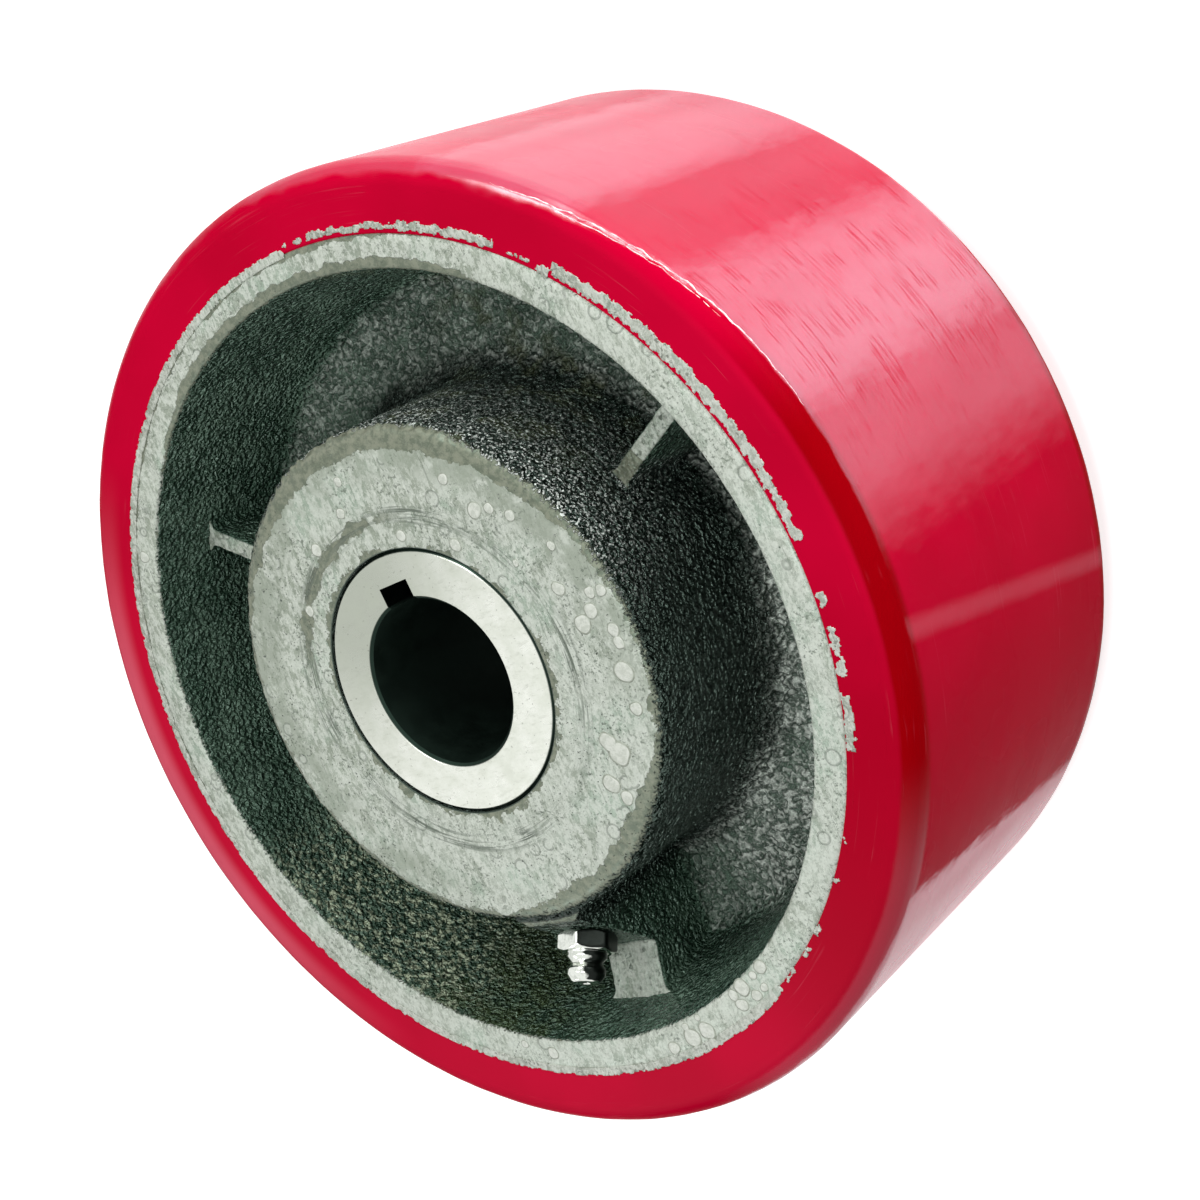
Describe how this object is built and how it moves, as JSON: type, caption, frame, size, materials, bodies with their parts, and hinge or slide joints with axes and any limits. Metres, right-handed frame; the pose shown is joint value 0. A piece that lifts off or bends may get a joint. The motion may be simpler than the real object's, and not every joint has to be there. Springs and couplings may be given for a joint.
{
  "type": "drive wheel",
  "caption": "Ribbed iron drive wheel with a red polyurethane tread, a keyed steel bushing and a grease fitting in its hub.",
  "frame": {"origin": "on the axle line, at the rear hub face on which the wheel lies", "axes": "+Z along the axle line towards the front hub face with the grease fitting, -Y towards the fitting, keyway near +Y"},
  "size_m": [0.2032, 0.2032, 0.0965],
  "materials": {
    "cast_iron": "sandy casting, machined faces painted silver-grey",
    "polyurethane": "smooth moulded, satin gloss",
    "bushing_steel": "turned and faced",
    "plated_steel": "bright plating",
    "ball_steel": "polished ball",
    "spring_steel": "drawn wire"
  },
  "bodies": {
    "wheel": {"core": "cast_iron", "tread": "polyurethane", "keyed_bushing": "bushing_steel", "grease_fitting": "plated_steel", "fitting_spring": "spring_steel"},
    "check_ball": {"fitting_ball": "ball_steel"}
  },
  "joints": [
    {"name": "check_ball_slide", "type": "slide", "parent": "wheel", "child": "check_ball", "axis": [0, 0.7986, -0.6018], "range_m": [0, 0.0008], "stiffness_N_per_m": 150, "springref_m": -0.001, "deforming": ["fitting_spring"]}
  ]
}
